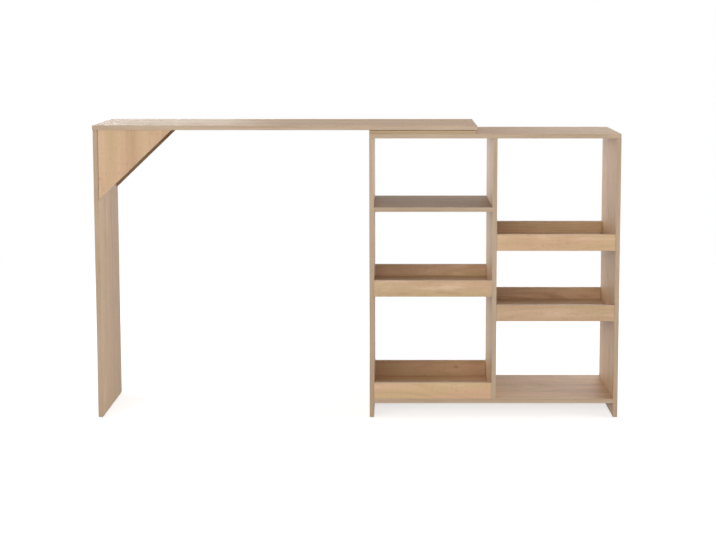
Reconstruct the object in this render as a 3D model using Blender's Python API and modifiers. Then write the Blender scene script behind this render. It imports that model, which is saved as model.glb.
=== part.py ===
# Bar table with a shelf unit that swings under one end of its top.
# Metres, +Z up, +X to the right and +Y to the back of the table as it stands in one line.
# The origin is on the floor, under the middle of the whole table.

import math

import bmesh
import bpy

# Boards
BOARD = 0.016
DEPTH = 0.390
EDGE_ROUND = 0.0008
EDGE_STEPS = 2

# The top and its panel leg
TABLE_LENGTH = 1.380
TABLE_HEIGHT = 1.070
TOP_OVERHANG = 0.002

# The corner brace, two three-cornered cheeks between the leg and the top; the back one is a little smaller
BRACE_WIDTH = 0.264
BRACE_HEIGHT = 0.253
BRACE_RECESS = 0.004
BRACE_BACK_STEP = 0.010

# The shelf unit
SHELF_LENGTH = 0.905
OVERLAP = 0.387
SPACER = 0.012
SPACER_INSET = 0.004
BOTTOM_CLEARANCE = 0.055
LIP_HEIGHT = 0.060
PLAIN_SHELF_HEIGHT = 0.759
LEFT_TRAY_HEIGHT = 0.449
RIGHT_UPPER_TRAY_HEIGHT = 0.617
RIGHT_LOWER_TRAY_HEIGHT = 0.359

# Gaps left between touching pieces, and how far a cutter passes a face
FIT = 0.0003
CUT_PAST = 0.001

# Floor glides, each nailed into the lower edge of a panel
GLIDE_RADIUS = 0.007
GLIDE_HEIGHT = 0.003
GLIDE_ROUND = 0.0010
GLIDE_NAIL_RADIUS = 0.0015
GLIDE_NAIL_LENGTH = 0.010
GLIDE_FROM_EDGE = 0.035

# Connecting screws
SCREW_HEAD_RADIUS = 0.0048
SCREW_HEAD_HEIGHT = 0.0035
SCREW_NECK_RADIUS = 0.0034
SCREW_NECK_LENGTH = 0.010
SCREW_CORE_RADIUS = 0.0025
SCREW_TIP = 0.003
SCREW_SINK = 0.0004
LONG_SCREW = 0.050
SCREW_FROM_EDGE = 0.060
SPACER_SCREW_FROM_EDGE = 0.042
WOOD_OVER_TIP = 0.003

# Cam locks between the leg and the top
CAM_RADIUS = 0.0075
CAM_DEPTH = 0.0125
CAM_DROP = 0.024
CAM_SINK = 0.0004
CAM_BOLT_RADIUS = 0.0030
CAM_BOLT_NECK = 0.0018
CAM_BOLT_HEAD = 0.0035
CAM_BOLT_IN_TOP = 0.011
CAM_FROM_EDGE = 0.070

# Dowels between the cheeks and the top
DOWEL_RADIUS = 0.004
DOWEL_IN_TOP = 0.010
DOWEL_IN_CHEEK = 0.018
DOWEL_CHAMFER = 0.001
DOWEL_FROM_LEG = 0.110

# Studs under the plain shelf
STUD_RADIUS = 0.0025
STUD_COLLAR_RADIUS = 0.0040
STUD_COLLAR = 0.0015
STUD_IN_PANEL = 0.009
STUD_OUT = 0.010
STUD_FROM_EDGE = 0.050

# The swivel
BOLT_RADIUS = 0.004
BOLT_HEAD_RADIUS = 0.0080
BOLT_HEAD_HEIGHT = 0.0045
BOLT_SOCKET_RADIUS = 0.0025
BOLT_SOCKET_DEPTH = 0.0025
BUSHING_WALL = 0.0017
WASHER_RADIUS = 0.013
WASHER_THICKNESS = 0.002
INSERT_RADIUS = 0.0075
INSERT_LENGTH = 0.012
RING_OUTER_RADIUS = 0.060
RING_INNER_RADIUS = 0.042
RING_THICKNESS = 0.001

# Facets round each turned piece
FINE_STEPS = 24
COARSE_STEPS = 12
RING_STEPS = 40

# Places worked out from the sizes above
OVERALL_LENGTH = TABLE_LENGTH + SHELF_LENGTH - OVERLAP
TABLE_LEFT = -OVERALL_LENGTH / 2
TABLE_RIGHT = TABLE_LEFT + TABLE_LENGTH
SHELF_LEFT = TABLE_RIGHT - OVERLAP
SHELF_RIGHT = SHELF_LEFT + SHELF_LENGTH
FRONT = -DEPTH / 2
BACK = DEPTH / 2
PANEL_FOOT = GLIDE_HEIGHT + FIT

TOP_UNDERSIDE = TABLE_HEIGHT - BOARD
SWIVEL_GAP = RING_THICKNESS + 2 * FIT
SPACER_TOP = TOP_UNDERSIDE - SWIVEL_GAP
SPACER_UNDERSIDE = SPACER_TOP - SPACER
UNIT_TOP = SPACER_UNDERSIDE - FIT
UNIT_TOP_UNDERSIDE = UNIT_TOP - BOARD

LEG_LEFT = TABLE_LEFT + TOP_OVERHANG
LEG_INNER = LEG_LEFT + BOARD
LEG_TOP = TOP_UNDERSIDE - FIT

COLUMN_WIDTH = (SHELF_LENGTH - 3 * BOARD) / 2
LEFT_INNER = SHELF_LEFT + BOARD
DIVIDER_LEFT = LEFT_INNER + COLUMN_WIDTH
DIVIDER_RIGHT = DIVIDER_LEFT + BOARD
RIGHT_INNER = SHELF_RIGHT - BOARD
SIDE_TOP = UNIT_TOP_UNDERSIDE - FIT
FLOOR_BOARD_TOP = BOTTOM_CLEARANCE + BOARD

PIVOT_X = TABLE_RIGHT - OVERLAP / 2
PIVOT_Y = (FRONT + BACK) / 2


def clear_scene():
    for old in list(bpy.data.objects):
        bpy.data.objects.remove(old, do_unlink=True)


def new_collection(name):
    made = bpy.data.collections.new(name)
    bpy.context.scene.collection.children.link(made)
    return made


clear_scene()
PARTS = new_collection("bar_table")
CUTTERS = new_collection("cutters")


# Materials

def principled(name, colour, roughness, metallic):
    made = bpy.data.materials.new(name)
    made.use_nodes = True
    shader = made.node_tree.nodes["Principled BSDF"]
    shader.inputs["Base Color"].default_value = (*colour, 1.0)
    shader.inputs["Roughness"].default_value = roughness
    shader.inputs["Metallic"].default_value = metallic
    made.diffuse_color = (*colour, 1.0)
    return made


def oak_board():
    return principled("oak_board", (0.52, 0.37, 0.24), 0.45, 0.0)


def plated_steel():
    return principled("plated_steel", (0.62, 0.62, 0.60), 0.32, 1.0)


def zinc():
    return principled("zinc", (0.50, 0.51, 0.53), 0.42, 1.0)


def brass():
    return principled("brass", (0.72, 0.52, 0.22), 0.35, 1.0)


def white_nylon():
    return principled("white_nylon", (0.80, 0.80, 0.77), 0.40, 0.0)


def brown_plastic():
    return principled("brown_plastic", (0.22, 0.16, 0.11), 0.50, 0.0)


def beech():
    return principled("beech", (0.62, 0.45, 0.28), 0.60, 0.0)


OAK = oak_board()
STEEL = plated_steel()
ZINC = zinc()
BRASS = brass()
NYLON = white_nylon()
BROWN = brown_plastic()
BEECH = beech()


# The swivel's axis carries the top, the leg and all that is fixed to them

def make_pivot():
    pivot = bpy.data.objects.new("pivot_axis", None)
    PARTS.objects.link(pivot)
    pivot.location = (PIVOT_X, PIVOT_Y, TOP_UNDERSIDE)
    return pivot


PIVOT = make_pivot()


def add_part(name, mesh, material, centre, turn=(0.0, 0.0, 0.0), on_pivot=False):
    part = bpy.data.objects.new(name, mesh)
    PARTS.objects.link(part)
    part.location = centre
    part.rotation_euler = turn
    if on_pivot:
        part.parent = PIVOT
        part.location = [at - origin for at, origin in zip(centre, PIVOT.location)]
    if not mesh.materials:
        mesh.materials.append(material)
    return part


def add_cutter(name, mesh, centre, turn=(0.0, 0.0, 0.0)):
    cutter = bpy.data.objects.new(name, mesh)
    CUTTERS.objects.link(cutter)
    cutter.location = centre
    cutter.rotation_euler = turn
    cutter.hide_render = True
    cutter.display_type = 'WIRE'
    return cutter


def cut(part, cutter):
    step = part.modifiers.new("cut_" + cutter.name, 'BOOLEAN')
    step.operation = 'DIFFERENCE'
    step.solver = 'EXACT'
    step.object = cutter


def round_edges(part):
    step = part.modifiers.new("edge_round", 'BEVEL')
    step.width = EDGE_ROUND
    step.segments = EDGE_STEPS
    step.limit_method = 'ANGLE'
    step.angle_limit = math.radians(30)


def mesh_from(build, name):
    made = bpy.data.meshes.new(name)
    work = bmesh.new()
    build(work)
    work.to_mesh(made)
    work.free()
    return made


# A board is given by its two corners

def board(name, low, high, on_pivot=False):
    size = [b - a for a, b in zip(low, high)]
    centre = [(a + b) / 2 for a, b in zip(low, high)]

    def block(work):
        bmesh.ops.create_cube(work, size=1.0)
        bmesh.ops.scale(work, vec=size, verts=work.verts)

    part = add_part(name, mesh_from(block, name), OAK, centre, on_pivot=on_pivot)
    round_edges(part)
    return part


# A turned piece is a profile of (radius, height) points, top to bottom, spun about Z

def turned(name, profile, steps):
    made = bpy.data.meshes.new(name)
    points = [(radius, 0.0, height) for radius, height in profile]
    edges = [(i, i + 1) for i in range(len(points) - 1)]
    made.from_pydata(points, edges, [])
    holder = bpy.data.objects.new(name + "_profile", made)
    PARTS.objects.link(holder)
    spin = holder.modifiers.new("spin", 'SCREW')
    spin.steps = steps
    spin.render_steps = steps
    spin.use_merge_vertices = True
    spin.merge_threshold = 0.00001
    seen = holder.evaluated_get(bpy.context.evaluated_depsgraph_get())
    solid = bpy.data.meshes.new_from_object(seen)
    bpy.data.objects.remove(holder, do_unlink=True)
    bpy.data.meshes.remove(made)
    solid.name = name
    solid.shade_smooth()
    solid.set_sharp_from_angle(angle=math.radians(40))
    return solid


def closed_ring(outer, inner, top, bottom):
    return [(inner, top), (outer, top), (outer, bottom), (inner, bottom), (inner, top)]


def plain_pin(radius, top, bottom):
    return [(0.0, top), (radius, top), (radius, bottom), (0.0, bottom)]


# A flat outline of (x, z) points, as thick as asked along Y, around its own middle

def outline_plate(name, outline, thickness):
    drawn = bpy.data.curves.new(name, 'CURVE')
    drawn.dimensions = '2D'
    drawn.fill_mode = 'BOTH'
    drawn.extrude = thickness / 2
    line = drawn.splines.new('POLY')
    line.points.add(len(outline) - 1)
    for point, (x, z) in zip(line.points, outline):
        point.co = (x, z, 0.0, 1.0)
    line.use_cyclic_u = True
    holder = bpy.data.objects.new(name + "_outline", drawn)
    PARTS.objects.link(holder)
    seen = holder.evaluated_get(bpy.context.evaluated_depsgraph_get())
    solid = bpy.data.meshes.new_from_object(seen)
    bpy.data.objects.remove(holder, do_unlink=True)
    bpy.data.curves.remove(drawn)
    work = bmesh.new()
    work.from_mesh(solid)
    bmesh.ops.remove_doubles(work, verts=work.verts, dist=0.00001)
    bmesh.ops.recalc_face_normals(work, faces=work.faces)
    work.to_mesh(solid)
    work.free()
    solid.name = name
    return solid


UPRIGHT = (math.radians(90), 0.0, 0.0)
TIP_DOWN = (0.0, 0.0, 0.0)
TIP_UP = (math.radians(180), 0.0, 0.0)
TIP_RIGHT = (0.0, math.radians(-90), 0.0)
TIP_LEFT = (0.0, math.radians(90), 0.0)


# Top and leg

def make_tabletop():
    low = (TABLE_LEFT, FRONT, TOP_UNDERSIDE)
    high = (TABLE_RIGHT, BACK, TABLE_HEIGHT)
    return board("tabletop", low, high, on_pivot=True)


def make_leg_panel():
    low = (LEG_LEFT, FRONT, PANEL_FOOT)
    high = (LEG_INNER, BACK, LEG_TOP)
    return board("leg_panel", low, high, on_pivot=True)


# Corner brace: two three-cornered cheeks, open along their slope

BRACE_CORNER = (LEG_INNER + FIT, TOP_UNDERSIDE - FIT)
FRONT_CHEEK_Y = FRONT + BRACE_RECESS + BOARD / 2
BACK_CHEEK_Y = BACK - BRACE_RECESS - BOARD / 2


def make_brace_cheek(name, middle, step):
    outline = [(0.0, 0.0), (0.0, step - BRACE_HEIGHT), (BRACE_WIDTH - step, 0.0)]
    mesh = outline_plate(name, outline, BOARD)
    centre = (BRACE_CORNER[0], middle, BRACE_CORNER[1])
    cheek = add_part(name, mesh, OAK, centre, UPRIGHT, on_pivot=True)
    round_edges(cheek)
    return cheek


def dowel_profile(grow):
    radius = DOWEL_RADIUS + grow
    top = DOWEL_IN_TOP + grow
    bottom = -DOWEL_IN_CHEEK - grow
    return [
        (0.0, top),
        (radius - DOWEL_CHAMFER, top),
        (radius, top - DOWEL_CHAMFER),
        (radius, bottom + DOWEL_CHAMFER),
        (radius - DOWEL_CHAMFER, bottom),
        (0.0, bottom),
    ]


def make_brace(tabletop):
    front_cheek = make_brace_cheek("brace_front_cheek", FRONT_CHEEK_Y, 0.0)
    back_cheek = make_brace_cheek("brace_back_cheek", BACK_CHEEK_Y, BRACE_BACK_STEP)
    dowel = turned("brace_dowel", dowel_profile(0.0), COARSE_STEPS)
    hole = turned("brace_dowel_hole", dowel_profile(FIT), COARSE_STEPS)
    places = {"front": (front_cheek, FRONT_CHEEK_Y), "back": (back_cheek, BACK_CHEEK_Y)}
    for side, (cheek, y) in places.items():
        middle = (LEG_INNER + DOWEL_FROM_LEG, y, TOP_UNDERSIDE)
        add_part("brace_dowel_" + side, dowel, BEECH, middle, on_pivot=True)
        cutter = add_cutter("brace_dowel_hole_" + side, hole, middle)
        cut(cheek, cutter)
        cut(tabletop, cutter)


# Cam locks: a steel bolt up into the top, its head caught in a cam let into the leg

def cam_places():
    return {"front": FRONT + CAM_FROM_EDGE, "back": BACK - CAM_FROM_EDGE}


def cam_bolt_profile(top, grow):
    neck_low = -CAM_BOLT_HEAD - grow
    neck_high = CAM_RADIUS
    return [
        (0.0, top + grow),
        (CAM_BOLT_RADIUS + grow, top + grow),
        (CAM_BOLT_RADIUS + grow, neck_high),
        (CAM_BOLT_NECK + grow, neck_high),
        (CAM_BOLT_NECK + grow, CAM_BOLT_HEAD / 2),
        (CAM_BOLT_HEAD + grow, CAM_BOLT_HEAD / 2),
        (CAM_BOLT_HEAD + grow, neck_low / 2),
        (CAM_BOLT_NECK + grow, neck_low),
        (0.0, neck_low),
    ]


def make_cam_locks(tabletop, leg):
    bolt_x = LEG_LEFT + BOARD / 2
    cam_z = LEG_TOP - CAM_DROP
    cam_face = LEG_INNER - CAM_SINK
    bolt_top = TOP_UNDERSIDE + CAM_BOLT_IN_TOP - cam_z
    bolt_mesh = turned("cam_bolt", cam_bolt_profile(bolt_top, 0.0), COARSE_STEPS)
    cam_mesh = turned("cam", plain_pin(CAM_RADIUS, 0.0, -CAM_DEPTH), FINE_STEPS)
    pocket_profile = plain_pin(CAM_RADIUS + FIT, CAM_SINK + CUT_PAST, -CAM_DEPTH - FIT)
    pocket_mesh = turned("cam_pocket", pocket_profile, FINE_STEPS)
    slot_radius = CAM_BOLT_HEAD + FIT
    slot_mesh = turned("cam_slot", plain_pin(slot_radius, CAM_DROP / 2, -slot_radius), COARSE_STEPS)
    well_radius = CAM_BOLT_RADIUS + FIT
    well_profile = plain_pin(well_radius, bolt_top + FIT, 0.0)
    well_mesh = turned("cam_bolt_well", well_profile, COARSE_STEPS)
    for side, y in cam_places().items():
        middle = (bolt_x, y, cam_z)
        add_part("leg_cam_bolt_" + side, bolt_mesh, STEEL, middle, on_pivot=True)
        cam = add_part("leg_cam_" + side, cam_mesh, ZINC, (cam_face, y, cam_z), TIP_LEFT, on_pivot=True)
        cut(cam, add_cutter("cam_slot_" + side, slot_mesh, middle))
        cut(leg, add_cutter("cam_pocket_" + side, pocket_mesh, (cam_face, y, cam_z), TIP_LEFT))
        well = add_cutter("cam_bolt_well_" + side, well_mesh, middle)
        cut(leg, well)
        cut(tabletop, well)


# The shelf unit's boards

def make_side(name, left):
    low = (left, FRONT, PANEL_FOOT)
    high = (left + BOARD, BACK, SIDE_TOP)
    return board(name, low, high)


def make_unit_top():
    low = (SHELF_LEFT, FRONT, UNIT_TOP_UNDERSIDE)
    high = (SHELF_RIGHT, BACK, UNIT_TOP)
    return board("unit_top_board", low, high)


def make_spacer():
    low = (SHELF_LEFT, FRONT, SPACER_UNDERSIDE)
    high = (TABLE_RIGHT - SPACER_INSET, BACK, SPACER_TOP)
    return board("spacer_board", low, high)


def make_bottom_board():
    low = (LEFT_INNER + FIT, FRONT, BOTTOM_CLEARANCE)
    high = (RIGHT_INNER - FIT, BACK, FLOOR_BOARD_TOP)
    return board("bottom_board", low, high)


def make_divider():
    low = (DIVIDER_LEFT, FRONT, FLOOR_BOARD_TOP + FIT)
    high = (DIVIDER_RIGHT, BACK, SIDE_TOP)
    return board("divider", low, high)


LEFT_COLUMN = (LEFT_INNER + FIT, DIVIDER_LEFT - FIT)
RIGHT_COLUMN = (DIVIDER_RIGHT + FIT, RIGHT_INNER - FIT)


def make_plain_shelf():
    low = (LEFT_COLUMN[0], FRONT, PLAIN_SHELF_HEIGHT)
    high = (LEFT_COLUMN[1], BACK, PLAIN_SHELF_HEIGHT + BOARD)
    return board("plain_shelf", low, high)


def make_lips(name, column, underside):
    top = underside + LIP_HEIGHT
    front_low = (column[0], FRONT, underside)
    front_high = (column[1], FRONT + BOARD, top)
    board(name + "_front_lip", front_low, front_high)
    back_low = (column[0], BACK - BOARD, underside)
    back_high = (column[1], BACK, top)
    board(name + "_back_lip", back_low, back_high)


def make_tray(name, column, underside):
    low = (column[0], FRONT + BOARD + FIT, underside)
    high = (column[1], BACK - BOARD - FIT, underside + BOARD)
    board(name + "_board", low, high)
    make_lips(name, column, underside)


# Connecting screws

def screw_profile(length, grow, rise):
    head_low = -SCREW_HEAD_HEIGHT
    neck_low = head_low - SCREW_NECK_LENGTH
    tip = -length
    return [
        (0.0, rise),
        (SCREW_HEAD_RADIUS + grow, rise),
        (SCREW_HEAD_RADIUS + grow, head_low / 2 - grow),
        (SCREW_NECK_RADIUS + grow, head_low - grow),
        (SCREW_NECK_RADIUS + grow, neck_low - grow),
        (SCREW_CORE_RADIUS + grow, neck_low - grow),
        (SCREW_CORE_RADIUS + grow, tip + SCREW_TIP),
        (0.0, tip - grow),
    ]


def screw_meshes(kind, length):
    screw = turned(kind, screw_profile(length, 0.0, 0.0), COARSE_STEPS)
    hole = turned(kind + "_hole", screw_profile(length, FIT, SCREW_SINK + CUT_PAST), COARSE_STEPS)
    return screw, hole


def drive_screw(name, meshes, head, turn, boards):
    add_part(name, meshes[0], STEEL, head, turn)
    hole = add_cutter(name + "_hole", meshes[1], head, turn)
    for cut_board in boards:
        cut(cut_board, hole)


def edge_places():
    return {"front": FRONT + SCREW_FROM_EDGE, "back": BACK - SCREW_FROM_EDGE}


def screw_unit_top(unit_top, panels):
    meshes = screw_meshes("top_screw", LONG_SCREW)
    for name, (panel, x) in panels.items():
        for side, y in edge_places().items():
            head = (x, y, UNIT_TOP - SCREW_SINK)
            drive_screw(f"top_screw_{name}_{side}", meshes, head, TIP_DOWN, [unit_top, panel])


def screw_bottom_board(bottom, left_side, right_side, divider):
    meshes = screw_meshes("bottom_screw", LONG_SCREW)
    z = BOTTOM_CLEARANCE + BOARD / 2
    for side, y in edge_places().items():
        left_head = (SHELF_LEFT + SCREW_SINK, y, z)
        drive_screw("bottom_screw_left_" + side, meshes, left_head, TIP_RIGHT, [left_side, bottom])
        right_head = (SHELF_RIGHT - SCREW_SINK, y, z)
        drive_screw("bottom_screw_right_" + side, meshes, right_head, TIP_LEFT, [right_side, bottom])
        middle_head = ((DIVIDER_LEFT + DIVIDER_RIGHT) / 2, y, BOTTOM_CLEARANCE + SCREW_SINK)
        drive_screw("divider_screw_" + side, meshes, middle_head, TIP_UP, [bottom, divider])


def screw_spacer(unit_top, spacer):
    length = BOARD + FIT + SPACER - WOOD_OVER_TIP
    meshes = screw_meshes("spacer_screw", length)
    inset = SPACER_SCREW_FROM_EDGE
    columns = {"left": LEFT_INNER + inset, "right": TABLE_RIGHT - SPACER_INSET - inset}
    rows = {"front": FRONT + inset, "back": BACK - inset}
    for side_x, x in columns.items():
        for side_y, y in rows.items():
            head = (x, y, UNIT_TOP_UNDERSIDE + SCREW_SINK)
            drive_screw(f"spacer_screw_{side_x}_{side_y}", meshes, head, TIP_UP, [unit_top, spacer])


# Studs that carry the plain shelf

def stud_profile():
    return [
        (0.0, STUD_OUT),
        (STUD_RADIUS, STUD_OUT),
        (STUD_RADIUS, STUD_COLLAR),
        (STUD_COLLAR_RADIUS, STUD_COLLAR),
        (STUD_COLLAR_RADIUS, FIT),
        (STUD_RADIUS, FIT),
        (STUD_RADIUS, -STUD_IN_PANEL),
        (0.0, -STUD_IN_PANEL),
    ]


def make_studs(left_side, divider):
    stud = turned("shelf_stud", stud_profile(), COARSE_STEPS)
    hole_profile = plain_pin(STUD_RADIUS + FIT, CUT_PAST, -STUD_IN_PANEL - FIT)
    hole = turned("stud_hole", hole_profile, COARSE_STEPS)
    z = PLAIN_SHELF_HEIGHT - STUD_COLLAR_RADIUS - FIT
    walls = {"left": (left_side, LEFT_INNER, TIP_LEFT), "right": (divider, DIVIDER_LEFT, TIP_RIGHT)}
    for wall_name, (panel, x, turn) in walls.items():
        for side, y in {"front": FRONT + STUD_FROM_EDGE, "back": BACK - STUD_FROM_EDGE}.items():
            name = f"shelf_stud_{wall_name}_{side}"
            add_part(name, stud, STEEL, (x, y, z), turn)
            cut(panel, add_cutter(name + "_hole", hole, (x, y, z), turn))


# Floor glides

def glide_profile():
    return [
        (0.0, GLIDE_HEIGHT + GLIDE_NAIL_LENGTH),
        (GLIDE_NAIL_RADIUS, GLIDE_HEIGHT + GLIDE_NAIL_LENGTH),
        (GLIDE_NAIL_RADIUS, GLIDE_HEIGHT),
        (GLIDE_RADIUS, GLIDE_HEIGHT),
        (GLIDE_RADIUS, GLIDE_ROUND),
        (GLIDE_RADIUS - GLIDE_ROUND, 0.0),
        (0.0, 0.0),
    ]


def make_glides(panels):
    glide = turned("floor_glide", glide_profile(), FINE_STEPS)
    nail_top = GLIDE_HEIGHT + GLIDE_NAIL_LENGTH + FIT
    hole_profile = plain_pin(GLIDE_NAIL_RADIUS + FIT, nail_top, GLIDE_HEIGHT / 2)
    hole = turned("glide_hole", hole_profile, COARSE_STEPS)
    for name, (panel, x, on_pivot) in panels.items():
        for side, y in {"front": FRONT + GLIDE_FROM_EDGE, "back": BACK - GLIDE_FROM_EDGE}.items():
            part_name = f"{name}_glide_{side}"
            add_part(part_name, glide, BROWN, (x, y, 0.0), on_pivot=on_pivot)
            cut(panel, add_cutter(part_name + "_hole", hole, (x, y, 0.0)))


# Swivel: a bolt from under the unit's top, through a bushing, into a nut in the tabletop

BUSHING_BORE = BOLT_RADIUS + FIT
BUSHING_RADIUS = BUSHING_BORE + BUSHING_WALL
WASHER_TOP = UNIT_TOP_UNDERSIDE - FIT
WASHER_UNDERSIDE = WASHER_TOP - WASHER_THICKNESS
BOLT_SHOULDER = WASHER_UNDERSIDE - FIT
BOLT_TIP = TOP_UNDERSIDE + INSERT_LENGTH


def bolt_profile():
    return [
        (0.0, BOLT_TIP),
        (BOLT_RADIUS, BOLT_TIP),
        (BOLT_RADIUS, BOLT_SHOULDER),
        (BOLT_HEAD_RADIUS, BOLT_SHOULDER),
        (BOLT_HEAD_RADIUS, BOLT_SHOULDER - BOLT_HEAD_HEIGHT / 2),
        (BOLT_SOCKET_RADIUS * 2, BOLT_SHOULDER - BOLT_HEAD_HEIGHT),
        (BOLT_SOCKET_RADIUS, BOLT_SHOULDER - BOLT_HEAD_HEIGHT),
        (BOLT_SOCKET_RADIUS, BOLT_SHOULDER - BOLT_HEAD_HEIGHT + BOLT_SOCKET_DEPTH),
        (0.0, BOLT_SHOULDER - BOLT_HEAD_HEIGHT + BOLT_SOCKET_DEPTH),
    ]


def pivot_piece(name, profile, steps, material, on_pivot):
    mesh = turned(name, profile, steps)
    return add_part(name, mesh, material, (PIVOT_X, PIVOT_Y, 0.0), on_pivot=on_pivot)


def bore(part, name, radius, top, bottom):
    mesh = turned(name, plain_pin(radius, top, bottom), FINE_STEPS)
    cut(part, add_cutter(name, mesh, (PIVOT_X, PIVOT_Y, 0.0)))


def make_swivel(tabletop, unit_top, spacer):
    pivot_piece("pivot_bolt", bolt_profile(), FINE_STEPS, STEEL, True)
    washer = closed_ring(WASHER_RADIUS, BUSHING_BORE, WASHER_TOP, WASHER_UNDERSIDE)
    pivot_piece("pivot_washer", washer, FINE_STEPS, STEEL, True)
    bushing = closed_ring(BUSHING_RADIUS, BUSHING_BORE, SPACER_TOP, UNIT_TOP_UNDERSIDE)
    pivot_piece("pivot_bushing", bushing, FINE_STEPS, NYLON, False)
    insert = closed_ring(INSERT_RADIUS, BUSHING_BORE, TOP_UNDERSIDE + INSERT_LENGTH, TOP_UNDERSIDE)
    pivot_piece("insert_nut", insert, FINE_STEPS, BRASS, True)
    ring_top = TOP_UNDERSIDE - FIT
    ring = closed_ring(RING_OUTER_RADIUS, RING_INNER_RADIUS, ring_top, ring_top - RING_THICKNESS)
    pivot_piece("glide_ring", ring, RING_STEPS, NYLON, False)
    insert_top = TOP_UNDERSIDE + INSERT_LENGTH + FIT
    bore(tabletop, "insert_hole", INSERT_RADIUS + FIT, insert_top, TOP_UNDERSIDE - CUT_PAST)
    for part, name in ((unit_top, "unit_top_bore"), (spacer, "spacer_bore")):
        high = SPACER_TOP + CUT_PAST
        low = UNIT_TOP_UNDERSIDE - CUT_PAST
        bore(part, name, BUSHING_RADIUS + FIT, high, low)


def build():
    tabletop = make_tabletop()
    leg = make_leg_panel()
    make_brace(tabletop)
    make_cam_locks(tabletop, leg)

    left_side = make_side("left_side", SHELF_LEFT)
    right_side = make_side("right_side", RIGHT_INNER)
    divider = make_divider()
    unit_top = make_unit_top()
    spacer = make_spacer()
    bottom = make_bottom_board()
    make_plain_shelf()
    make_tray("left_tray", LEFT_COLUMN, LEFT_TRAY_HEIGHT)
    make_tray("right_upper_tray", RIGHT_COLUMN, RIGHT_UPPER_TRAY_HEIGHT)
    make_tray("right_lower_tray", RIGHT_COLUMN, RIGHT_LOWER_TRAY_HEIGHT)
    make_lips("bottom", LEFT_COLUMN, FLOOR_BOARD_TOP + FIT)

    uprights = {
        "left": (left_side, SHELF_LEFT + BOARD / 2),
        "middle": (divider, (DIVIDER_LEFT + DIVIDER_RIGHT) / 2),
        "right": (right_side, SHELF_RIGHT - BOARD / 2),
    }
    screw_unit_top(unit_top, uprights)
    screw_bottom_board(bottom, left_side, right_side, divider)
    screw_spacer(unit_top, spacer)
    make_studs(left_side, divider)
    make_swivel(tabletop, unit_top, spacer)

    standing = {
        "leg": (leg, LEG_LEFT + BOARD / 2, True),
        "left_side": (left_side, SHELF_LEFT + BOARD / 2, False),
        "right_side": (right_side, SHELF_RIGHT - BOARD / 2, False),
    }
    make_glides(standing)


build()
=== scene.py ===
import math

import bmesh
import bpy
from mathutils import Matrix, Vector


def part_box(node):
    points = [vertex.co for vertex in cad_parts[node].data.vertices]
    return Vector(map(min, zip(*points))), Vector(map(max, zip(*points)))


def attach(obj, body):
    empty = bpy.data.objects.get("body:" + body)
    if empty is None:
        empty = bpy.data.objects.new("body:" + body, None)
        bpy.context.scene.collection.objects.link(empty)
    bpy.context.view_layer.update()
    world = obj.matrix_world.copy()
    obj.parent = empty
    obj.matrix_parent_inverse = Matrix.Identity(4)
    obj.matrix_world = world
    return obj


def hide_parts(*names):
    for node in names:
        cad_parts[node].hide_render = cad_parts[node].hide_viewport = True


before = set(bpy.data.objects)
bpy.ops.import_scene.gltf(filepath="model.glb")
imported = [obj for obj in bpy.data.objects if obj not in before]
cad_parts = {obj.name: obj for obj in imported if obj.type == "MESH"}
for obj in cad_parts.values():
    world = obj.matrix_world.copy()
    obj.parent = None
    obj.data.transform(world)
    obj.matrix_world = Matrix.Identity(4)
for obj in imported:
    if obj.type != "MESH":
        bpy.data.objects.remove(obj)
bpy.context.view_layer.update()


# The two sides of the shelf unit are 16 mm particle board with a printed oak foil pressed on both faces,
# the grain upright. A thin band is rolled onto the sawn edges with hot glue and trimmed flush, which
# leaves a hairline of glue beside it and a barely eased arris.

BAND = 0.0005
GLUE_LINE = 0.00014
GLUE_LINE_DEPTH = 0.00007
ARRIS = 0.0004
ARRIS_STEPS = 3
CORNER_ROUND = 0.0006
LEAST_ROUND = 0.00005
CORNER_STEPS = 3
SHARP_ANGLE = 40
FOIL_PLACE, BAND_PLACE, GLUE_PLACE = 0, 1, 2

OAK_DARK = (0.412, 0.248, 0.137)
OAK_MIDDLE = (0.568, 0.380, 0.228)
OAK_PALE = (0.690, 0.500, 0.332)
OAK_ROSY = (1.025, 0.988, 0.990)
OAK_YELLOW = (0.980, 1.005, 0.930)
PORE_BROWN = (0.235, 0.130, 0.065)
RINGS_IN_SWEEP = 15.0
RING_WOBBLE = 0.55
STREAK_SHARE = 0.95
RING_SHARE = -0.19
FIBRE_SHARE = 0.34
FLAME_SHARE = 0.85
FLAME_PALER = 0.06
FOIL_GLOSS = 0.42
FOIL_ROUGH = 0.47
STREAK_ROUGH = 0.10
PORE_ROUGH = 0.16
BAND_DARK = (0.400, 0.275, 0.175)
BAND_PALE = (0.570, 0.435, 0.305)
GLUE_BROWN = (0.215, 0.140, 0.085)
GLUE_PALE = (0.330, 0.225, 0.140)
CHIP_DARK = (0.270, 0.165, 0.085)
CHIP_PALE = (0.620, 0.465, 0.290)

# Flame figures of the grain on three lips, by the distance along the lip from its middle.
FLAMES = {
    "left_tray_front_lip": 0.045,
    "right_lower_tray_front_lip": 0.017,
    "right_upper_tray_back_lip": -0.06,
}
FLAME_LENGTH = 0.110
FLAME_WIDTH = 0.040
FAR_AWAY = 90.0


def put_in_scene(name, data):
    made = bpy.data.objects.new(name, data)
    bpy.context.scene.collection.objects.link(made)
    return made


def new_finish(name):
    finish = bpy.data.materials.new(name)
    finish.use_nodes = True
    tree = finish.node_tree
    return finish, tree, tree.nodes["Principled BSDF"]


def node(tree, kind, sockets, output=0, **settings):
    made = tree.nodes.new("ShaderNode" + kind)
    for name, value in settings.items():
        setattr(made, name, value)
    for socket, value in sockets.items():
        if isinstance(value, bpy.types.NodeSocket):
            tree.links.new(value, made.inputs[socket])
        else:
            made.inputs[socket].default_value = value
    return made.outputs[output]


def reckon(tree, operation, *values):
    return node(tree, "Math", dict(enumerate(values)), operation=operation)


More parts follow.
